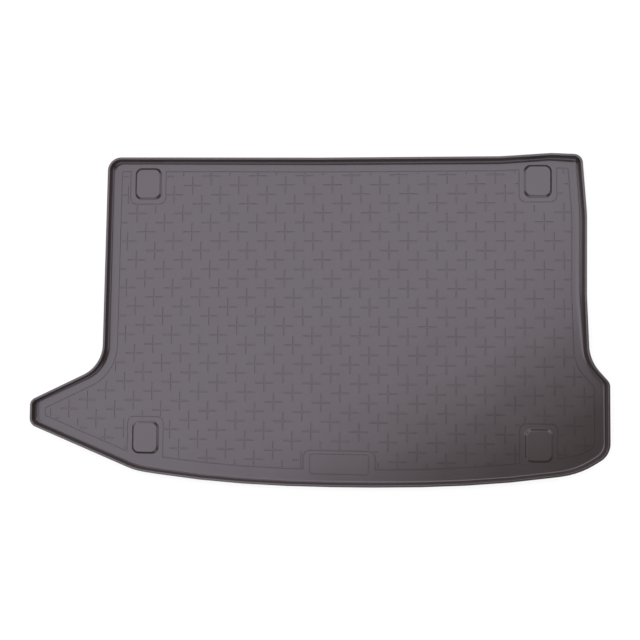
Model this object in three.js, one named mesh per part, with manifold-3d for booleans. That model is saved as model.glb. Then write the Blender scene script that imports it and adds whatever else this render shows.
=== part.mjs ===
// Car boot liner: a shallow tray moulded in one piece from thermoplastic rubber. A flat floor with a
// field of grooved crosses lies inside a low rim with a flat lip. A long wing on the left and a short
// one on the right reach into the corners beside the tailgate. Four raised pads clear the lashing rings.
// Millimetres. +X is the boot's width, +Y points to the rear seat, +Z is up, the underside is on Z = 0.

import * as THREE from 'three';
import { mergeVertices } from 'three/addons/utils/BufferGeometryUtils.js';
import Module from 'manifold-3d';

const wasm = await Module();
wasm.setup();

// Plan of the outer edge of the lip. Distances "from seat" run from the seat edge to the tailgate.
const overallLength = 1207; // between the two wing tips
const overallDepth = 687; // seat edge to the farthest point of the tailgate edge
const tailgateBow = 31; // how far the tailgate edge bulges past its two corners
const tailgateFullness = 2.5; // 2 is a parabola, and more is flatter in the middle

const leftWingReach = 155; // left tip beyond the left side
const leftRootFromSeat = 442; // where the left side turns out into the wing
const leftTipFromSeat = 517;
const leftTipLength = 51;
const leftTailgateIn = 231; // tailgate corner in from the left tip
const leftTailgateRise = 26; // and how far it lies short of the tailgate edge's middle
const leftSeatCornerIn = 3;
const leftSeatCornerRise = 4;

const rightWingReach = 44; // right tip beyond the right side
const rightRootFromSeat = 421;
const rightRootOut = 4;
const rightTipFromSeat = 466;
const rightTipLength = 145;
const rightTailgateIn = 62;
const rightTailgateRise = 36.5;
const rightWaistFromSeat = 289; // slight bends of the right side
const rightWaistIn = 1;
const rightBendFromSeat = 121;
const rightSeatCornerIn = 9;
const rightSeatCornerRise = 3;

const seatShoulderIn = 72; // rise of the seat edge near its right end, from the right side
const seatShoulderRise = 6;
const seatLevelIn = 175;
const seatMiddleIn = 458; // from the left side

const leftSeatRadius = 29;
const rightSeatRadius = 19;
const leftRootRadius = 72;
const leftTipSeatRadius = 17;
const leftTipTailgateRadius = 20;
const leftTailgateRadius = 150;
const rightTailgateRadius = 168;
const rightTipTailgateRadius = 43;
const rightTipSeatRadius = 20;
const rightRootRadius = 89;

// Section through the floor and the rim.
const floorThickness = 2.5;
const rimHeight = 20; // underside to the top of the lip
const wallThickness = 3;
const wallLean = 1.5; // the wall's foot lies this far inside its top
const lipWidth = 4.8;
const lipThickness = 2.5;
const lipEdgeRound = 0.8;
const footRadius = 7.5; // between floor and wall, inside
const heelRadius = 3; // between underside and wall, outside

// Border line round the field of crosses.
const borderInset = 27; // from the outer edge of the lip
const tailgateBorderInset = 34;
const borderWidth = 2;
const borderDepth = 1;
const borderCornerRadius = 4;

// Crosses, on a square lattice that is turned so that arms meet gaps.
const crossPitch = 20; // each cross lies two pitches along and one across from the next
const crossFromMiddle = 56; // one cross of the lattice, from the middle of the length
const crossFromSeat = 294.8;
const crossArm = 19.4; // centre to tip
const crossWidth = 3.2; // at the root of an arm
const crossDepth = 1.1;
const crossBorderGap = 1.5; // floor between a cut-off arm and the border line

// Pads over the lashing rings, hollow below.
const padLength = 57.5; // along X, at the floor
const padDepth = 68.5; // along Y, at the floor
const padCornerRadius = 14;
const padHeight = 4; // above the floor
const padEdgeRound = 6; // radius of the sides, which round over from the flat top down to the floor
const padEdgeFacets = 3;
const padSkin = 1.5; // the hollow lies this far inside the pad's sides
const padBorderGap = 9.75; // floor to the border line that goes round the pad
const padPlaces = [
  { side: 'left', fromSide: 87.5, fromSeat: 50.5 },
  { side: 'right', fromSide: 96, fromSeat: 49 },
  { side: 'left', fromSide: 91.5, fromSeat: 593 },
  { side: 'right', fromSide: 95.5, fromSeat: 596 },
];

// Bare plate at the tailgate, outlined by a fine groove.
const plateLength = 124;
const plateDepth = 43;
const plateCornerRadius = 7;
const plateFromMiddle = 55;
const plateFromTailgate = 45; // its centre from the middle of the tailgate edge
const plateGrooveWidth = 1.6;
const plateGrooveDepth = 0.8;
const plateSideGap = 13; // to the border line that steps round it
const plateSeatGap = 6.5;

const chordTolerance = 0.5; // how far a facet may lie inside a round corner
const bowFacets = 10;

const leftTip = -overallLength / 2;
const rightTip = overallLength / 2;
const leftSide = leftTip + leftWingReach;
const rightSide = rightTip - rightWingReach;
const floorTop = floorThickness;

// Plan outlines

/** A corner of an outline: its sharp point, its radius, and the inset of the side that leaves it. */
function corner(x, y, radius = 0, inset = borderInset) {
  return { point: new THREE.Vector2(x, y), radius, inset };
}

/** Points of the tailgate edge between its two corners: a bulge that is full in the middle. */
function tailgateCorners(from, to) {
  const chord = to.clone().sub(from);
  const outwards = new THREE.Vector2(chord.y, -chord.x).normalize();
  const points = [];
  for (let i = 1; i < bowFacets; i += 1) {
    const share = i / bowFacets;
    const bulge = tailgateBow * (1 - Math.abs(2 * share - 1) ** tailgateFullness);
    const point = from.clone().addScaledVector(chord, share).addScaledVector(outwards, bulge);
    points.push(corner(point.x, point.y, 0, tailgateBorderInset));
  }
  return points;
}

/** Corners of the liner's outer edge, anticlockwise from the right end of the seat edge. */
function planCorners() {
  const leftTailgateY = leftTailgateRise - overallDepth;
  const rightTailgateY = rightTailgateRise - overallDepth;
  const leftTailgate = corner(
    leftTip + leftTailgateIn, leftTailgateY, leftTailgateRadius, tailgateBorderInset);
  const rightTailgate = corner(rightTip - rightTailgateIn, rightTailgateY, rightTailgateRadius);
  return [
    corner(rightSide - rightSeatCornerIn, rightSeatCornerRise, rightSeatRadius),
    corner(rightSide - seatShoulderIn, seatShoulderRise),
    corner(rightSide - seatLevelIn, 0),
    corner(leftSide + seatMiddleIn, 0),
    corner(leftSide + leftSeatCornerIn, leftSeatCornerRise, leftSeatRadius),
    corner(leftSide, -leftRootFromSeat, leftRootRadius),
    corner(leftTip, -leftTipFromSeat, leftTipSeatRadius),
    corner(leftTip, -leftTipFromSeat - leftTipLength, leftTipTailgateRadius),
    leftTailgate,
    ...tailgateCorners(leftTailgate.point, rightTailgate.point),
    rightTailgate,
    corner(rightTip, -rightTipFromSeat - rightTipLength, rightTipTailgateRadius),
    corner(rightTip, -rightTipFromSeat, rightTipSeatRadius),
    corner(rightSide + rightRootOut, -rightRootFromSeat, rightRootRadius),
    corner(rightSide - rightWaistIn, -rightWaistFromSeat),
    corner(rightSide, -rightBendFromSeat),
  ];
}

/** The direction from one corner to the next, and the normal that points into the outline. */
function sideOf(corners, index) {
  const start = corners[index].point;
  const end = corners[(index + 1) % corners.length].point;
  const length = start.distanceTo(end);
  const along = end.clone().sub(start).normalize();
  return { along, length, inwards: new THREE.Vector2(-along.y, along.x) };
}

/** The outline with each side moved in by its inset, where the round corners stay concentric. */
function insetCorners(corners, insetOf, leastRadius) {
  return corners.map((here, index) => {
    const before = sideOf(corners, (index + corners.length - 1) % corners.length);
    const after = sideOf(corners, index);
    const insetBefore = insetOf(corners[(index + corners.length - 1) % corners.length]);
    const insetAfter = insetOf(here);
    const cosine = before.inwards.dot(after.inwards);
    const shared = (insetBefore + insetAfter) / 2 / (1 + cosine);
    const point = here.point.clone()
      .addScaledVector(before.inwards, shared)
      .addScaledVector(after.inwards, shared);
    if (insetBefore !== insetAfter) {
      const stepped = (insetBefore - insetAfter) / 2 / (1 - cosine);
      point.addScaledVector(before.inwards, stepped).addScaledVector(after.inwards, -stepped);
    }
    const bulges = before.along.cross(after.along) > 0;
    const change = (insetBefore + insetAfter) / 2;
    const radius = bulges ? Math.max(here.radius - change, leastRadius) : here.radius + change;
    return { ...here, point, radius: here.radius > 0 ? radius : 0 };
  });
}

/** How many facets round each corner keeps within the tolerance, from the turn and the radius there. */
function facetCounts(corners) {
  return corners.map((here, index) => {
    const before = sideOf(corners, (index + corners.length - 1) % corners.length);
    const turn = Math.acos(before.along.dot(sideOf(corners, index).along));
    const facetAngle = 2 * Math.acos(1 - chordTolerance / Math.max(here.radius, 2 * chordTolerance));
    return here.radius > 0 ? Math.ceil(turn / facetAngle) : 0;
  });
}

/** Points of an outline, with an arc of facets at each round corner. */
function outlinePoints(corners, facets = facetCounts(corners)) {
  return corners.flatMap((here, index) => {
    if (facets[index] === 0) {
      return [here.point.clone()];
    }
    const before = sideOf(corners, (index + corners.length - 1) % corners.length);
    const after = sideOf(corners, index);
    const turn = Math.atan2(before.along.cross(after.along), before.along.dot(after.along));
    const wanted = here.radius * Math.tan(Math.abs(turn) / 2);
    const tangent = Math.min(wanted, before.length / 2, after.length / 2);
    const radius = tangent / Math.tan(Math.abs(turn) / 2);
    const start = here.point.clone().addScaledVector(before.along, -tangent);
    const centre = start.clone().addScaledVector(before.inwards, radius * Math.sign(turn));
    const spoke = start.clone().sub(centre);
    return Array.from({ length: facets[index] + 1 }, (_, step) => {
      const angle = turn * step / facets[index];
      return spoke.clone().rotateAround(new THREE.Vector2(), angle).add(centre);
    });
  });
}

/** Points of a rectangle with round corners about a centre. */
function roundedRectangle(centre, length, depth, radius) {
  const right = centre.x + length / 2;
  const left = centre.x - length / 2;
  const top = centre.y + depth / 2;
  const bottom = centre.y - depth / 2;
  return outlinePoints([
    corner(right, top, radius),
    corner(left, top, radius),
    corner(left, bottom, radius),
    corner(right, bottom, radius),
  ]);
}

// Solids

/** A closed three.js geometry as a solid that can be joined and cut. */
function toSolid(geometry) {
  geometry.deleteAttribute('normal');
  geometry.deleteAttribute('uv');
  const merged = mergeVertices(geometry, 1e-5);
  const mesh = new wasm.Mesh({
    numProp: 3,
    vertProperties: new Float32Array(merged.attributes.position.array),
    triVerts: new Uint32Array(merged.index.array),
  });
  return new wasm.Manifold(mesh);
}

/** A solid as a three.js geometry with flat faces. */
function toGeometry(solid) {
  const mesh = solid.getMesh();
  const geometry = new THREE.BufferGeometry();
  geometry.setAttribute('position', new THREE.BufferAttribute(mesh.vertProperties, 3));
  geometry.setIndex(new THREE.BufferAttribute(mesh.triVerts, 1));
  geometry.computeVertexNormals();
  return geometry;
}

/** A solid skinned over rings of equally many points, with its first and last ring filled in. */
function loft(rings) {
  const count = rings[0].points.length;
  const positions = rings.flatMap(({ points, z }) => points.flatMap(({ x, y }) => [x, y, z]));
  const triangles = [];
  for (let ring = 0; ring < rings.length - 1; ring += 1) {
    for (let i = 0; i < count; i += 1) {
      const a = ring * count + i;
      const b = ring * count + (i + 1) % count;
      triangles.push(a, b, b + count, a, b + count, a + count);
    }
  }
  const last = (rings.length - 1) * count;
  for (const [a, b, c] of THREE.ShapeUtils.triangulateShape(rings[0].points, [])) {
    triangles.push(c, b, a);
  }
  for (const [a, b, c] of THREE.ShapeUtils.triangulateShape(rings.at(-1).points, [])) {
    triangles.push(last + a, last + b, last + c);
  }
  const geometry = new THREE.BufferGeometry();
  geometry.setAttribute('position', new THREE.Float32BufferAttribute(positions, 3));
  geometry.setIndex(triangles);
  return toSolid(geometry);
}

/** A straight prism over an outline between two heights. */
function prism(points, bottom, top) {
  const shape = new THREE.Shape(points);
  const geometry = new THREE.ExtrudeGeometry(shape, { depth: top - bottom, bevelEnabled: false });
  geometry.translate(0, 0, bottom);
  return toSolid(geometry);
}

// The tray

/** How far the inside of the wall lies in from the lip's outer edge at a height. */
function wallInset(z) {
  return lipWidth + wallLean * (rimHeight - z) / (rimHeight - floorTop);
}

/** Section of the tray from the underside, round the heel, up and over the lip, to the floor. */
function rimSection() {
  const heel = Math.min(heelRadius, rimHeight - lipThickness);
  const foot = Math.min(footRadius, rimHeight - floorTop - lipEdgeRound);
  const heelCut = heel * (1 - Math.SQRT1_2);
  const footCut = foot * (1 - Math.SQRT1_2);
  const underLip = rimHeight - lipThickness;
  return [
    { inset: wallInset(0) - wallThickness + heel, z: 0 },
    { inset: wallInset(heelCut) - wallThickness + heelCut, z: heelCut },
    { inset: wallInset(heel) - wallThickness, z: heel },
    { inset: wallInset(underLip) - wallThickness, z: underLip },
    { inset: 0, z: underLip },
    { inset: 0, z: rimHeight - lipEdgeRound },
    { inset: lipEdgeRound, z: rimHeight },
    { inset: lipWidth - lipEdgeRound, z: rimHeight },
    { inset: wallInset(rimHeight - lipEdgeRound), z: rimHeight - lipEdgeRound },
    { inset: wallInset(floorTop + foot), z: floorTop + foot },
    { inset: wallInset(floorTop + footCut) + footCut, z: floorTop + footCut },
    { inset: wallInset(floorTop) + foot, z: floorTop },
  ];
}

/** The floor and rim as one skin: the section carried round the plan. */
function tray(plan) {
  const facets = facetCounts(plan);
  const rings = rimSection().map(({ inset, z }) => {
    const ring = insetCorners(plan, () => inset, lipEdgeRound);
    return { points: outlinePoints(ring, facets), z };
  });
  return loft(rings);
}

// Pads

/** Centre of a pad from the side and the seat edge that it is measured from. */
function padCentre({ side, fromSide, fromSeat }) {
  const x = side === 'left' ? leftSide + fromSide : rightSide - fromSide;
  return new THREE.Vector2(x, -fromSeat);
}

/** Outline of a pad at the floor. */
function padOutline(centre) {
  return roundedRectangle(centre, padLength, padDepth, padCornerRadius);
}

/** How steep a pad's round sides get at the floor, and how far they run in on the way up. */
function padSides() {
  const steepest = Math.acos(1 - padHeight / padEdgeRound);
  return { steepest, reach: padEdgeRound * Math.sin(steepest) };
}

/** The raised block of a pad, whose sides round over from the flat top down to the floor. */
function padBlock(centre) {
  const { steepest, reach } = padSides();
  const base = padOutline(centre);
  const rings = Array.from({ length: padEdgeFacets + 1 }, (_, step) => {
    const slope = steepest * (1 - step / padEdgeFacets);
    const inset = reach - padEdgeRound * Math.sin(slope);
    return {
      points: shrink(base, centre, inset),
      z: floorTop + padHeight - padEdgeRound * (1 - Math.cos(slope)),
    };
  });
  return loft([{ points: base, z: floorTop - padSkin }, ...rings]);
}

/** The hollow under a pad, open to the boot floor, that goes over the lashing ring. */
function padHollow(centre) {
  const outline = padOutline(centre);
  return loft([
    { points: shrink(outline, centre, padSkin), z: 0 },
    { points: shrink(outline, centre, padSkin + padSides().reach), z: padHeight },
  ]);
}

/** An outline of a pad drawn in towards its centre, so that each side moves by the same inset. */
function shrink(points, centre, inset) {
  const alongX = 1 - 2 * inset / padLength;
  const alongY = 1 - 2 * inset / padDepth;
  return points.map(({ x, y }) => new THREE.Vector2(
    centre.x + (x - centre.x) * alongX,
    centre.y + (y - centre.y) * alongY,
  ));
}

// Field of crosses and its border

/** Room that the border line leaves round a pad: open towards the edge that the pad lies near. */
function padRoom(centre, grow) {
  const gap = padBorderGap + grow;
  const towardsSeat = centre.y > -overallDepth / 2;
  const reach = 2 * borderInset;
  const depth = padDepth + 2 * gap + reach;
  const middle = new THREE.Vector2(centre.x, centre.y + (towardsSeat ? reach / 2 : -reach / 2));
  return roundedRectangle(middle, padLength + 2 * gap, depth, padCornerRadius + grow);
}

/** Room that the border line leaves round the plate, open towards the tailgate. */
function plateRoom(centre, grow) {
  const length = plateLength + 2 * (plateSideGap + grow);
  const depth = plateDepth + plateSeatGap + grow + plateFromTailgate;
  const top = centre.y + plateDepth / 2 + plateSeatGap + grow;
  const middle = new THREE.Vector2(centre.x, top - depth / 2);
  return roundedRectangle(middle, length, depth, plateCornerRadius);
}

/** The field inside the border line, as a prism, made smaller all round by a step. */
function fieldPrism(plan, pads, plate, step, bottom) {
  const border = insetCorners(plan, (side) => side.inset + step, borderCornerRadius);
  let field = prism(outlinePoints(border), bottom, floorTop);
  for (const centre of pads) {
    field = field.subtract(prism(padRoom(centre, step), bottom, floorTop));
  }
  return field.subtract(prism(plateRoom(plate, step), bottom, floorTop));
}

/** The groove of the border line. */
function borderGroove(plan, pads, plate) {
  const bottom = floorTop - borderDepth;
  const outside = fieldPrism(plan, pads, plate, -borderWidth / 2, bottom);
  const inside = fieldPrism(plan, pads, plate, borderWidth / 2, bottom);
  return outside.subtract(inside);
}

/** The groove that outlines the plate. */
function plateGroove(centre) {
  const bottom = floorTop - plateGrooveDepth;
  const outside = roundedRectangle(centre, plateLength, plateDepth, plateCornerRadius);
  const inside = roundedRectangle(
    centre,
    plateLength - 2 * plateGrooveWidth,
    plateDepth - 2 * plateGrooveWidth,
    plateCornerRadius - plateGrooveWidth,
  );
  return prism(outside, bottom, floorTop).subtract(prism(inside, bottom, floorTop));
}

/** Corners and faces of one cross: four tapering arms of V section, flush with the floor on top. */
function addCross(centre, positions, triangles) {
  const first = positions.length / 3;
  const half = crossWidth / 2;
  const bottom = floorTop - crossDepth;
  const place = (x, y, quarterTurns, z) => {
    const spoke = new THREE.Vector2(x, y).rotateAround(new THREE.Vector2(), quarterTurns * Math.PI / 2);
    positions.push(centre.x + spoke.x, centre.y + spoke.y, z);
  };
  place(0, 0, 0, bottom);
  for (let arm = 0; arm < 4; arm += 1) {
    place(crossArm - crossWidth, 0, arm, bottom);
    place(crossArm, 0, arm, floorTop);
    place(half, half, arm, floorTop);
  }
  const throats = [0, 1, 2, 3].map((arm) => first + 3 * arm + 3);
  triangles.push(throats[0], throats[1], throats[2], throats[0], throats[2], throats[3]);
  for (let arm = 0; arm < 4; arm += 1) {
    const ridge = first + 3 * arm + 1;
    const tip = ridge + 1;
    const left = throats[arm];
    const right = throats[(arm + 3) % 4];
    triangles.push(right, tip, left);
    triangles.push(first, ridge, right, ridge, tip, right);
    triangles.push(first, left, ridge, ridge, left, tip);
  }
}

/** All the crosses of the lattice, cut off a little short of the border line. */
function crossGrooves(plan, pads, plate) {
  const border = outlinePoints(insetCorners(plan, (side) => side.inset, borderCornerRadius));
  const box = new THREE.Box2().setFromPoints(border);
  const first = new THREE.Vector2(crossFromMiddle, -crossFromSeat);
  const rows = Math.ceil(box.getSize(new THREE.Vector2()).length() / crossPitch / 2);
  const positions = [];
  const triangles = [];
  for (let i = -rows; i <= rows; i += 1) {
    for (let j = -rows; j <= rows; j += 1) {
      const step = new THREE.Vector2(2 * i - j, i + 2 * j);
      const centre = first.clone().addScaledVector(step, crossPitch);
      if (box.containsPoint(centre)) {
        addCross(centre, positions, triangles);
      }
    }
  }
  const geometry = new THREE.BufferGeometry();
  geometry.setAttribute('position', new THREE.Float32BufferAttribute(positions, 3));
  geometry.setIndex(triangles);
  const step = borderWidth / 2 + crossBorderGap;
  const field = fieldPrism(plan, pads, plate, step, floorTop - crossDepth - crossWidth);
  return toSolid(geometry).intersect(field);
}

// The whole liner

/** Tray with its pads, hollows and grooves, centred over its own plan. */
function linerGeometry() {
  const plan = planCorners();
  const pads = padPlaces.map(padCentre);
  const plate = new THREE.Vector2(plateFromMiddle, plateFromTailgate - overallDepth);
  let solid = tray(plan);
  for (const centre of pads) {
    solid = solid.add(padBlock(centre)).subtract(padHollow(centre));
  }
  solid = solid
    .subtract(borderGroove(plan, pads, plate))
    .subtract(plateGroove(plate))
    .subtract(crossGrooves(plan, pads, plate));
  const middle = new THREE.Box2().setFromPoints(outlinePoints(plan)).getCenter(new THREE.Vector2());
  return toGeometry(solid).translate(-middle.x, -middle.y, 0);
}

/** Black thermoplastic rubber with a satin moulded face. */
function rubber() {
  return new THREE.MeshStandardMaterial({ color: 0x444143, roughness: 0.55, metalness: 0 });
}

const liner = new THREE.Mesh(linerGeometry(), rubber());
liner.name = 'liner';

const group = new THREE.Group();
group.add(liner);

export default group;
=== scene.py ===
import math

import bpy
import numpy as np
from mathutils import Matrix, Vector
from mathutils.geometry import delaunay_2d_cdt


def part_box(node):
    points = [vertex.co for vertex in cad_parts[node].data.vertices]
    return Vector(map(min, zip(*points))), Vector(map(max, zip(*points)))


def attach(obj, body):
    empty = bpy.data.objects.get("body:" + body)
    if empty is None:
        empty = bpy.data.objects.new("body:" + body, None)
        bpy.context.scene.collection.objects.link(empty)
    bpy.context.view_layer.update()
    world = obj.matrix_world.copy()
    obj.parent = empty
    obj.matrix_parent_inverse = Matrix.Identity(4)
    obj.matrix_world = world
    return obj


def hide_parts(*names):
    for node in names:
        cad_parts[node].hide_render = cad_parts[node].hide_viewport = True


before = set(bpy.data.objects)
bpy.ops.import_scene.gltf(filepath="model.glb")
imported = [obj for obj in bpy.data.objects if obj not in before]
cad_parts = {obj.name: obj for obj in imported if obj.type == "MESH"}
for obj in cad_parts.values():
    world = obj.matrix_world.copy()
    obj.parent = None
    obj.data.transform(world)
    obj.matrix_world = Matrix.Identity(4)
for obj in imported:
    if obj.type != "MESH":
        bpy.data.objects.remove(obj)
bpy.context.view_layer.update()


# Camera: a 45 mm lens on a 36 mm sensor, 1.68 m above the liner and a little right of its middle. It
# looks down at the middle of the floor, as the photograph does.
camera_data = bpy.data.cameras.new("camera")
camera_data.lens = 45
camera_data.sensor_width = 36
camera = bpy.data.objects.new("camera", camera_data)
camera.location = (0.1325, -0.0798, 1.6801)
camera.rotation_euler = [math.radians(angle) for angle in (2.7342, 4.0763, 0.5838)]
bpy.context.scene.collection.objects.link(camera)
bpy.context.scene.camera = camera
bpy.context.scene.view_settings.view_transform = "Standard"


# Studio floor: a square of white paper as wide as the light reaches, before a white room. The camera and
# reflections see it glow, so that it stays white, and its matt share still holds the liner's soft shadow.
def linear(hex_colour):
    """Linear RGBA of an sRGB hex colour: each channel through the sRGB curve."""
    channels = np.array([int(hex_colour[i:i + 2], 16) / 255 for i in (1, 3, 5)])
    curved = np.where(channels <= 0.04045, channels / 12.92, ((channels + 0.055) / 1.055) ** 2.4)
    return (*curved.tolist(), 1.0)


def add_node(tree, kind, settings=None, links=None, **values):
    """A new node: its settings, the values of its sockets by name, and the sockets linked into it."""
    node = tree.nodes.new(kind)
    for name, value in (settings or {}).items():
        setattr(node, name, value)
    for name, value in values.items():
        node.inputs[name.replace("_", " ")].default_value = value
    for name, source in (links or {}).items():
        tree.links.new(source, node.inputs[name])
    return node


paper = bpy.data.materials.new("white_paper")
paper.use_nodes = True
tree = paper.node_tree
tree.nodes.clear()
light_path = add_node(tree, "ShaderNodeLightPath")
seen_direct = add_node(
    tree, "ShaderNodeMath", {"operation": "MAXIMUM"},
    {0: light_path.outputs["Is Camera Ray"], 1: light_path.outputs["Is Glossy Ray"]})
seen = add_node(
    tree, "ShaderNodeMath", {"operation": "MAXIMUM"},
    {0: seen_direct.outputs[0], 1: light_path.outputs["Is Transmission Ray"]})
glow_share = 0.8
matt = add_node(tree, "ShaderNodeBsdfDiffuse", Color=linear("#fafafa"))
glow = add_node(tree, "ShaderNodeEmission", Color=linear("#ffffff"), Strength=1.0)
white = add_node(
    tree, "ShaderNodeMixShader", {}, {1: matt.outputs[0], 2: glow.outputs[0]}, Fac=glow_share)
paper_surface = add_node(
    tree, "ShaderNodeMixShader", {}, {0: seen.outputs[0], 1: matt.outputs[0], 2: white.outputs[0]})
add_node(tree, "ShaderNodeOutputMaterial", {}, {"Surface": paper_surface.outputs[0]})

# In metres. The gap keeps the paper off the liner's underside.
paper_width, paper_gap = 6.0, 0.0003
bpy.ops.mesh.primitive_plane_add(size=paper_width, location=(0, 0, -paper_gap))
floor = bpy.context.object
floor.name = "studio_floor"
floor.data.materials.append(paper)


# Studio light: one large softbox overhead that faces straight down, turned so that its edge runs
# diagonally past the liner's lower right corner, and a low one on each side. The room is plain and pale.
def add_softbox(name, size, power, place, angles):
    """A rectangular area light of a size in metres, at a place, turned by angles in degrees."""
    data = bpy.data.lights.new(name, "AREA")
    data.shape = "RECTANGLE"
    data.size, data.size_y = size
    data.energy = power
    light = bpy.data.objects.new(name, data)
    light.location = place
    light.rotation_euler = [math.radians(angle) for angle in angles]
    light.visible_camera = False
    bpy.context.scene.collection.objects.link(light)


add_softbox("overhead_softbox", (9.0, 4.8), 406, (-0.74, 1.266, 5.0), (0, 0, 30))
add_softbox("right_softbox", (6.0, 2.4), 90, (4.0, 2.0, 1.4), (90, 0, 90))
add_softbox("seat_side_softbox", (5.0, 2.4), 75, (-2.2, 4.0, 1.4), (90, 0, 180))
add_softbox("left_softbox", (5.0, 2.4), 80, (-4.0, 2.8, 1.4), (90, 0, 270))
add_softbox("tailgate_softbox", (7.0, 2.4), 100, (0, -4.0, 1.4), (90, 0, 0))

room = bpy.data.worlds.new("pale_room")
room.use_nodes = True
tree = room.node_tree
tree.nodes.clear()
light_path = add_node(tree, "ShaderNodeLightPath")
fill = add_node(tree, "ShaderNodeBackground", Color=linear("#ffffff"), Strength=0.08)
backdrop = add_node(tree, "ShaderNodeBackground", Color=linear("#ffffff"), Strength=1.0)
room_surface = add_node(
    tree, "ShaderNodeMixShader", {},
    {0: light_path.outputs["Is Camera Ray"], 1: fill.outputs[0], 2: backdrop.outputs[0]})
add_node(tree, "ShaderNodeOutputWorld", {}, {"Surface": room_surface.outputs[0]})
bpy.context.scene.world = room


# Plan of the moulding: the lip's outer edge, in millimetres. A long wing reaches left and a short one
# right beside the tailgate, and the tailgate edge is bowed. Plans are complex numbers, x + iy.
low, high = [np.array(corner) * 1000 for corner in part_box("liner")]
left_wing_reach, right_wing_reach, shoulder_rise = 155, 44, 6
left_tip, right_tip, seat = low[0], high[0], high[1] - shoulder_rise
left_side, right_side = left_tip + left_wing_reach, right_tip - right_wing_reach
rim_height = high[2]
side_border, tailgate_border = 27, 34

# The tailgate edge bulges from the chord between its two corners, flatter in the middle than a parabola,
# whose fullness is 2.
left_tailgate = complex(left_tip + 231, seat - 661)
right_tailgate = complex(right_tip - 62, seat - 650.5)
bow, fullness, bow_facets, bow_radius = 31, 2.5, 10, 5000
share = np.arange(1, bow_facets) / bow_facets
chord = right_tailgate - left_tailgate
inwards = 1j * chord / abs(chord) * bow
bowed = left_tailgate + chord * share - inwards * (1 - abs(2 * share - 1) ** fullness)

# Each corner with its radius, anticlockwise, how far in the border line lies along the next side, and
# the radius that the wall's foot has there: wide along the right side, tight round the short wing.
bowed_foot = np.linspace(5.5, 3.0, bow_facets - 1)
corners = [
    (complex(right_side - 9, seat + 3), 19, side_border, 10),  # right end of the seat edge
    (complex(right_side - 72, seat + shoulder_rise), 120, side_border, 8),  # its shoulder
    (complex(right_side - 175, seat), 120, side_border, 9),  # foot of the shoulder
    (complex(left_side + 458, seat), 120, side_border, 9),  # middle of the seat edge
    (complex(left_side + 3, seat + 4), 29, side_border, 9),  # left end of the seat edge
    (complex(left_side, seat - 442), 72, side_border, 7),  # root of the long wing
    (complex(left_tip, seat - 517), 17, side_border, 4.5),  # its tip
    (complex(left_tip, seat - 568), 20, side_border, 4.5),
    (left_tailgate, 150, tailgate_border, 5.5),
    *[(point, bow_radius, tailgate_border, foot) for point, foot in zip(bowed, bowed_foot)],
    (right_tailgate, 168, side_border, 3),
    (complex(right_tip, seat - 611), 43, side_border, 3),  # tip of the short wing
    (complex(right_tip, seat - 466), 20, side_border, 3),
    (complex(right_side + 4, seat - 421), 89, side_border, 5),  # its root
    (complex(right_side - 1, seat - 289), 200, side_border, 14),  # slight bends of the right side
    (complex(right_side, seat - 121), 200, side_border, 14),
]
plan, plan_radius, border_inset, foot_radius = [np.array(column) for column in zip(*corners)]

# A round corner turns by this much from facet to facet. An arc takes up to this share of a side, and a
# turn with a smaller tangent than the least is straight.
corner_facet = math.radians(5)
arc_share, least_tangent = 0.49, 1e-9


def arc_steps(corner, radius, most_turn):
    """For each point of an outline with arcs: its corner, its step along that arc, and the arc's steps."""
    after = np.roll(corner, -1, axis=-1) - corner
    turn = np.angle(after / (corner - np.roll(corner, 1, axis=-1)))
    first_row = np.atleast_2d(turn)[0]
    rounded = np.atleast_2d(radius + 0 * turn)[0] > 0
    facets = np.where(rounded, np.ceil(abs(first_row) / most_turn), 0).astype(int)
    which = np.repeat(np.arange(facets.size), facets + 1)
    step = np.arange(which.size) - np.repeat(np.cumsum(facets + 1) - facets - 1, facets + 1)
    return which, step, np.maximum(facets[which], 1)


def arcs(corner, radius, most_turn=corner_facet):
    """
    Closed outlines with an arc at each corner. A corner's arc starts where its circle touches the side
    before, radius x tan(half the turn) short of the corner and never past a side's middle, and is that
    point turned about the circle's centre. Rows of corners give rows of points.
    """
    before = corner - np.roll(corner, 1, axis=-1)
    after = np.roll(corner, -1, axis=-1) - corner
    turn = np.angle(after / before)
    half_turn = np.tan(abs(turn) / 2)
    tangent = np.minimum(radius * half_turn, np.minimum(abs(before), abs(after)) * arc_share)
    fitted = tangent / np.maximum(half_turn, least_tangent)
    start = corner - before / abs(before) * tangent
    centre = start + 1j * before / abs(before) * fitted * np.sign(turn)
    which, step, steps = arc_steps(corner, radius, most_turn)
    angle = turn[..., which] * step / steps
    return centre[..., which] + (start - centre)[..., which] * np.exp(1j * angle)


def moved_in(corner, radius, distance, least_radius, distance_before=None):
    """
    Corners and radii of an outline whose sides all move in: where the moved sides cross, with the round
    corners concentric. The distance may differ from side to side, or be a column, which gives rows. A
    distance_before is that of the side before each corner, where a side moves in more at one end.
    """
    before = corner - np.roll(corner, 1)
    after = np.roll(corner, -1) - corner
    turn = np.angle(after / before)
    distance = distance + np.zeros(corner.size)
    if distance_before is None:
        distance_before = np.roll(distance, 1, axis=-1)
    mean = (distance + distance_before) / 2
    stepped = np.where(distance == distance_before, 0, (distance_before - distance) / 2 / np.tan(turn / 2))
    along = before / abs(before)
    moved = corner + along * (1j * distance_before - mean * np.tan(turn / 2) + stepped)
    smaller = np.maximum(radius - mean, least_radius)
    return moved, np.where(turn > 0, smaller, radius + mean)


# Skin of the moulding. One list of points and one of faces take every surface, so that neighbours share
# their points and the skin is closed.
points = np.zeros((0, 3))
faces = []


def add_points(outline, height):
    """Puts points over a plan into the skin and returns their numbers, in the plan's own layout."""
    global points
    height = height + np.zeros(outline.shape)
    numbers = len(points) + np.arange(outline.size).reshape(outline.shape)
    points = np.concatenate([points, np.stack([outline.real, outline.imag, height], -1).reshape(-1, 3)])
    return numbers


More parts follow.
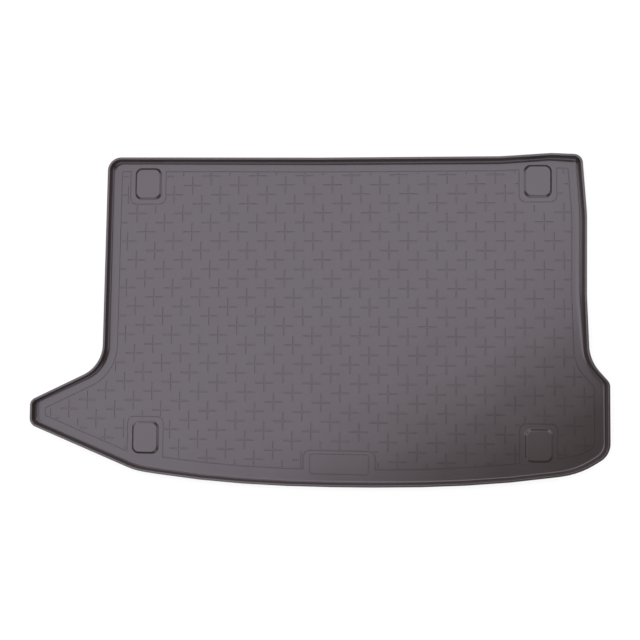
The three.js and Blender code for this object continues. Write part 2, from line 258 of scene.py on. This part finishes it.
def add_rings(outline, height):
    """
    Skins over closed rings, the next to last axis of the outline. Each face joins two neighbours of one
    ring to the same two of the next, and faces up where the rings go inwards and anticlockwise.
    """
    numbers = add_points(outline, height)
    beside = np.roll(numbers, -1, axis=-1)
    quads = np.stack([
        numbers[..., :-1, :], beside[..., :-1, :], beside[..., 1:, :], numbers[..., 1:, :]], -1)
    faces.extend(quads.reshape(-1, 4).tolist())
    return numbers


def fill_between(loops, upwards):
    """
    Fills the flat region that lies inside an odd number of the loops, by a Delaunay triangulation that
    keeps the loops' edges. Points nearer than a hundredth of a micrometre count as one.
    """
    same_point = 1e-5
    numbers = np.concatenate(loops)
    ends = np.cumsum([len(loop) for loop in loops])
    rings = [list(range(end - len(loop), end)) for loop, end in zip(loops, ends)]
    flat = [Vector(point) for point in points[numbers, :2].tolist()]
    _, _, triangles, sources, _, inside = delaunay_2d_cdt(flat, [], rings, 0, same_point)
    back = numbers[[source[0] for source in sources]]
    kept = back[np.array([tri for tri, within in zip(triangles, inside) if len(within) % 2 == 1])]
    spot = points[kept, :2] @ [1, 1j]
    area = np.imag(np.conj(spot[:, 1] - spot[:, 0]) * (spot[:, 2] - spot[:, 0]))
    wrong_way = (area > 0) != upwards
    kept[wrong_way] = kept[wrong_way][:, ::-1]
    faces.extend(kept.tolist())


def arc_profile(centre_inset, centre_height, radius, start, end, steps):
    """Points of a profile's round stretch: inset and height on a circle, from one angle to another."""
    angle = np.radians(np.linspace(start, end, steps + 1))
    return np.stack([centre_inset + radius * np.cos(angle), centre_height + radius * np.sin(angle)], -1)


# Rim: a low wall that leans out, under a flat lip with eased edges, and rounded into floor and
# underside. It is moulded in one with the floor, so its section runs from underside to floor.
floor_top = 2.5
wall, wall_lean, lip_width, lip_thickness = 3.0, 1.5, 4.8, 2.5
heel_radius, lip_round, lip_under_round = 3.0, 0.8, 0.5
heel_steps, under_steps, lip_steps, foot_steps = 6, 3, 5, 12

# A narrow strip of flat floor or underside beside each round keeps the round's shading off the flat.
flat_strip = 0.6

lean = wall_lean / (rim_height - floor_top)
lean_angle = math.degrees(math.atan(lean))
under_lip = rim_height - lip_thickness


def inner_face(height):
    """How far in the inside of the wall lies at a height: straight, and leaning out on the way up."""
    return lip_width + lean * (rim_height - height)


heel_centre = inner_face(heel_radius) - wall + heel_radius
section = np.concatenate([
    [[heel_centre + flat_strip, 0]],
    arc_profile(heel_centre, heel_radius, heel_radius, 270, 180 + lean_angle, heel_steps),
    [[inner_face(under_lip) - wall, under_lip]],
    arc_profile(lip_under_round, under_lip + lip_under_round, lip_under_round, 270, 180, under_steps),
    arc_profile(lip_round, rim_height - lip_round, lip_round, 180, 90, lip_steps),
    arc_profile(lip_width - lip_round, rim_height - lip_round, lip_round, 90, lean_angle, lip_steps),
])

# The foot's arc has its own radius at each corner of the plan, so its rows have a column for each.
foot_centre = inner_face(floor_top + foot_radius) + foot_radius
foot_angle = np.radians(np.linspace(180 + lean_angle, 270, foot_steps + 1))[:, None]
every_corner = np.zeros(plan.size)
inset = np.concatenate([
    section[:, :1] + every_corner,
    foot_centre + foot_radius * np.cos(foot_angle),
    [foot_centre + flat_strip],
])
height = np.concatenate([
    section[:, 1:] + every_corner,
    floor_top + foot_radius * (1 + np.sin(foot_angle)),
    [floor_top + every_corner],
])
rim_corners, rim_radii = moved_in(plan, plan_radius, inset, lip_round, inset)
corner_of_point = arc_steps(rim_corners, rim_radii, corner_facet)[0]
rim = add_rings(arcs(rim_corners, rim_radii), height[:, corner_of_point])
underside_loops = [rim[0]]
floor_loops = [rim[-1]]


# Pads: four raised pockets that clear the boot's lashing rings, moulded in one with the floor. Each has
# a flat top and sloping sides, eased at the top edge and at the foot, and is hollow below.
pad_size = np.array([57.5, 68.5])
pad_corner, pad_height, pad_skin = 14.0, 4.0, 1.5
pad_slope, pad_edge_round, pad_foot = 45.0, 1.2, 0.8
pad_facet, pad_foot_steps, pad_edge_steps = math.radians(7.5), 4, 5

# The pads' middles, from the two sides and the seat edge.
pads = [
    complex(left_side + 87.5, seat - 50.5),
    complex(right_side - 96, seat - 49),
    complex(left_side + 91.5, seat - 593),
    complex(right_side - 95.5, seat - 596),
]


def rectangle(centre, size, radius, most_turn=corner_facet):
    """A rectangle with round corners about a centre, anticlockwise."""
    half = np.array([1 + 1j, -1 + 1j, -1 - 1j, 1 - 1j]) / 2
    corner = half.real * size[0] + 1j * half.imag * size[1]
    return centre + arcs(corner, np.full(4, float(radius)), most_turn)


def drawn_in(outline, inset):
    """Rows of a pad's outline about its own centre, each side moved in by the row's inset."""
    inset = np.asarray(inset)[:, None]
    return outline.real * (1 - 2 * inset / pad_size[0]) + 1j * outline.imag * (1 - 2 * inset / pad_size[1])


pad_outline = rectangle(0, pad_size, pad_corner, pad_facet)
eased = math.tan(math.radians(pad_slope / 2))
side_reach = pad_height / math.tan(math.radians(pad_slope)) + pad_edge_round * eased
pad_side = np.concatenate([
    [[-pad_foot * eased - flat_strip, 0]],
    arc_profile(-pad_foot * eased, pad_foot, pad_foot, 270, 270 + pad_slope, pad_foot_steps),
    arc_profile(
        side_reach, pad_height - pad_edge_round, pad_edge_round, 90 + pad_slope, 90, pad_edge_steps),
    [[side_reach + flat_strip, pad_height]],
])
hollow_side = np.array([
    [pad_skin + side_reach, pad_height],
    [pad_skin, 0],
])
for centre in pads:
    block = add_rings(centre + drawn_in(pad_outline, pad_side[:, 0]), floor_top + pad_side[:, 1:])
    faces.append(block[-1].tolist())
    floor_loops.append(block[0])
    hollow = add_rings(centre + drawn_in(pad_outline, hollow_side[:, 0]), hollow_side[:, 1:])
    faces.append(hollow[0][::-1].tolist())
    underside_loops.append(hollow[-1])
fill_between(underside_loops, upwards=False)


# Border line: one fine groove round the field of crosses, left by a ridge in the mould. It steps round
# the pads and round the bare plate at the tailgate.
pad_gap, plate_side_gap, plate_seat_gap = 9.75, 13.0, 6.5
plate_size, plate_corner = np.array([124.0, 43.0]), 7.0
plate = complex(55, seat - 642)
border_corner, clear_of_corner = 4.0, 4.0

# A groove has steep sides from its edge down to its bed, and a margin of flat floor beside it.
line_half, line_bed_half, groove_depth, groove_margin = 1.0, 0.6, 0.8, 0.4


def notch(path, first, second):
    """
    The path with a step between two corners of a room. The path is cut where it crosses the room's two
    upright sides, and goes round the room's corners there. It crosses the first side first.
    """
    nearer = abs(path.imag) > abs(first.imag)
    same_side = np.sign(path.imag) == np.sign(first.imag)
    ahead = np.roll(path, -1)
    cuts = []
    for side in (first.real, second.real):
        crosses = (path.real - side) * (ahead.real - side) <= 0
        index = int(np.flatnonzero(crosses & nearer & same_side)[0])
        run = (side - path[index].real) / (ahead[index].real - path[index].real)
        cuts.append((index, path[index] + run * (ahead[index] - path[index])))
    (start, entry), (end, leave) = cuts
    step = arcs(np.array([entry, first, second, leave]), np.array([0, pad_corner, pad_corner, 0]))
    way_in, way_out = path[:start + 1], path[end + 1:]
    way_in = way_in[abs(way_in - entry) > clear_of_corner]
    way_out = way_out[abs(way_out - leave) > clear_of_corner]
    return np.concatenate([way_in, step, way_out])


border = arcs(*moved_in(plan, plan_radius, border_inset, border_corner))
pad_room = pad_size / 2 + pad_gap
plate_room = plate_size / 2 + np.array([plate_side_gap, plate_seat_gap])
for centre in (pads[1], pads[0]):
    near_right, near_left = complex(pad_room[0], -pad_room[1]), complex(-pad_room[0], -pad_room[1])
    border = notch(border, centre + near_right, centre + near_left)
for centre, room in ((pads[2], pad_room), (plate, plate_room), (pads[3], pad_room)):
    border = notch(border, centre + complex(-room[0], room[1]), centre + complex(room[0], room[1]))


def beside(path, distance):
    """Rows of a closed path moved sideways, inwards for more distance, with its corners kept sharp."""
    before = path - np.roll(path, 1)
    after = np.roll(path, -1) - path
    turn = np.angle(after / before)
    along = before / abs(before)
    return path + along * np.exp(0.5j * turn) * 1j / np.cos(turn / 2) * np.asarray(distance)[:, None]


groove = np.array([
    [-line_half - groove_margin, 0],
    [-line_half, 0],
    [-line_bed_half, -groove_depth],
    [line_bed_half, -groove_depth],
    [line_half, 0],
    [line_half + groove_margin, 0],
])
line = add_rings(beside(border, groove[:, 0]), floor_top + groove[:, 1:])
floor_loops += [line[0], line[-1]]


# Plate at the tailgate: a bare field of the floor itself. The groove that outlines it lies inside the
# plate's size, and has the border line's section at a share of its width and depth.
plate_share = 0.8
plate_groove = groove * plate_share
plate_half = plate_share * line_half
plate_outline = rectangle(plate, plate_size - 2 * plate_half, plate_corner - plate_half)
line = add_rings(beside(plate_outline, plate_groove[:, 0]), floor_top + plate_groove[:, 1:])
floor_loops += [line[0], line[-1]]


# Crosses: grooves on a square lattice that is turned, so that each arm ends in a gap between others.
# They give grip, and stop short of the border line.
pitch, arm_length = 20.0, 19.4
first_cross = complex(56, seat - 294.8)
cross_half, cross_bed_half = 1.5, 1.1
cross_groove = np.array([[cross_half + groove_margin, 0], [cross_half, 0], [cross_bed_half, -groove_depth]])

# The lattice is counted out to the most crosses each way, and an arm is measured in so many steps. The
# gap stays between an arm's margin and the border line's, and the last size is half the shortest bar.
most_crosses, arm_samples, line_gap, least_bar_half = 40, 39, 0.1, 2.2
counter = np.arange(-most_crosses, most_crosses + 1)
centres = (first_cross + pitch * (2 + 1j) * (counter[:, None] + 1j * counter)).ravel()
left_limit, right_limit = border.real.min() - pitch, border.real.max() + pitch
centres = centres[(centres.real > left_limit) & (centres.real < right_limit)]
centres = centres[abs(centres.imag) < abs(border.imag).max() + pitch]


def room_to(path, spots):
    """Distance from each spot to a closed path, above zero inside it: by the nearest of its sides."""
    start, end = path, np.roll(path, -1)
    distance = np.empty(spots.shape)
    for row in range(len(spots)):
        spot = spots[row][:, None]
        along = np.real((spot - start) * np.conj(end - start)) / abs(end - start) ** 2
        nearest = start + np.clip(along, 0, 1) * (end - start)
        winding = np.angle((end - spot) / (start - spot)).sum(-1)
        distance[row] = abs(spot - nearest).min(-1) * np.where(winding > math.pi, 1, -1)
    return distance


arm_way = 1j ** np.arange(4)
reach = np.linspace(0, arm_length, arm_samples + 1)
across = np.array([-1, 0, 1]) * cross_groove[0, 0]
spots = centres[:, None, None, None] + arm_way[:, None, None] * (reach[:, None] + 1j * across)
line_room = groove[-1, 0] + groove_margin + line_gap
distance = room_to(border, spots.reshape(len(centres), -1)).reshape(spots.shape)
open_floor = (distance > line_room).all(-1)
crossing_end = np.searchsorted(reach, cross_groove[0, 0])
whole = open_floor[:, :, crossing_end].all(-1)
run = np.cumprod(open_floor, -1).sum(-1) - 1
arms = np.where(run > 0, reach[np.maximum(run, 0)], 0)
cross_centres, cross_arms = centres[whole], arms[whole]

# An arm that reaches into the field from a cross outside it is a bar of its own, from line to tip.
open_floor &= reach > 2 * crossing_end * reach[1]
cut_off, cut_arm = np.nonzero(~whole[:, None] & open_floor.any(-1))
inside_run = open_floor[cut_off, cut_arm]
bar_start = reach[inside_run.argmax(-1)]
bar_end = reach[arm_samples - inside_run[:, ::-1].argmax(-1)]
bar_half = (bar_end - bar_start) / 2
bar_centres = centres[cut_off] + arm_way[cut_arm] * (bar_start + bar_half)
bar_arms = bar_half[:, None] * ((np.arange(4) - cut_arm[:, None]) % 2 == 0)
long_enough = bar_half > least_bar_half
cross_centres = np.concatenate([cross_centres, bar_centres[long_enough]])
cross_arms = np.concatenate([cross_arms, bar_arms[long_enough]])

# Each arm is drawn by points along its two sides, its blunt tip and one corner of the crossing. The
# points just off the corner and the tip keep the sides' shading straight in between. Where a bar has no
# arm, they draw together to shares of its half width.
most_off_corner = 1.2
bar_shares = (0.75, 0.6, 0.5)
half_width = cross_groove[:, 0][:, None]
edge = cross_groove[1, 0]
arm = cross_arms[:, None, :]
present = arm > 2 * edge
tip = np.where(present, arm + half_width - edge, half_width)
shoulder = np.where(present, tip - half_width / 2, half_width)
off_corner = np.minimum(most_off_corner, (shoulder - half_width) / 3)
along_root, along_end = half_width + off_corner, shoulder - off_corner
at_root, at_end, at_shoulder = [np.where(present, half_width, part * half_width) for part in bar_shares]
arm_points = [
    along_root - 1j * at_root,
    along_end - 1j * at_end,
    shoulder - 1j * at_shoulder,
    tip + 0j,
    shoulder + 1j * at_shoulder,
    along_end + 1j * at_end,
    along_root + 1j * at_root,
    half_width * (1 + 1j) + 0 * arm,
]
outline = (np.stack(arm_points, -1) * arm_way[:, None]).reshape(len(cross_arms), len(cross_groove), -1)
cross = add_rings(cross_centres[:, None, None] + outline, floor_top + cross_groove[:, 1:])
faces.extend(cross[:, -1].tolist())
floor_loops += list(cross[:, 0])
fill_between(floor_loops, upwards=True)


# Satin black thermoplastic rubber, moulded against a spark-eroded tool: a dark body under a soft broad
# sheen. Its grain, about 1 mm across, only shows close up. A large thin moulding is also slightly wavy,
# by a fraction of a millimetre over 140 mm, and that makes the sheen uneven.
rubber = bpy.data.materials.new("satin_thermoplastic_rubber")
rubber.use_nodes = True
tree = rubber.node_tree
tree.nodes.clear()

# Features in a metre: clouds 170 mm wide, waves of 140 mm and grain of 1.1 mm.
cloud_scale, wave_scale, grain_scale = 6.0, 7.0, 900.0
place = add_node(tree, "ShaderNodeTexCoord").outputs["Object"]
cloudy = add_node(
    tree, "ShaderNodeTexNoise", {}, {"Vector": place}, Scale=cloud_scale, Detail=3.0, Roughness=0.6)
body_colour = add_node(
    tree, "ShaderNodeMix", {"data_type": "RGBA"}, {"Factor": cloudy.outputs["Fac"]})
dark_tone, light_tone = body_colour.inputs[6], body_colour.inputs[7]
dark_tone.default_value = linear("#342e2d")
light_tone.default_value = linear("#3a3231")
gloss = add_node(
    tree, "ShaderNodeMapRange", {}, {"Value": cloudy.outputs["Fac"]},
    From_Min=0.3, From_Max=0.7, To_Min=0.20, To_Max=0.25)
waves = add_node(tree, "ShaderNodeTexNoise", {}, {"Vector": place}, Scale=wave_scale, Detail=1.0)
wave_bump = add_node(
    tree, "ShaderNodeBump", {}, {"Height": waves.outputs["Fac"]}, Strength=0.5, Distance=0.0015)
grain = add_node(tree, "ShaderNodeTexNoise", {}, {"Vector": place}, Scale=grain_scale, Detail=2.0)
grain_bump = add_node(
    tree, "ShaderNodeBump", {}, {"Height": grain.outputs["Fac"], "Normal": wave_bump.outputs[0]},
    Strength=0.25, Distance=0.0002)
body = add_node(
    tree, "ShaderNodeBsdfPrincipled", {},
    {"Base Color": body_colour.outputs[2], "Roughness": gloss.outputs[0], "Normal": grain_bump.outputs[0]},
    IOR=1.54, Specular_Tint=linear("#f2ecff"))
add_node(tree, "ShaderNodeOutputMaterial", {}, {"Surface": body.outputs[0]})

# The rounds shade smooth, and the sides of the grooves keep sharp edges.
crease = math.radians(38)
mesh = bpy.data.meshes.new("liner_moulding")
mesh.from_pydata((points / 1000).tolist(), [], faces)
mesh.validate()
mesh.shade_smooth()
mesh.set_sharp_from_angle(angle=crease)
mesh.materials.append(rubber)
liner = bpy.data.objects.new("liner_moulding", mesh)
bpy.context.scene.collection.objects.link(liner)
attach(liner, "root")
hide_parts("liner")
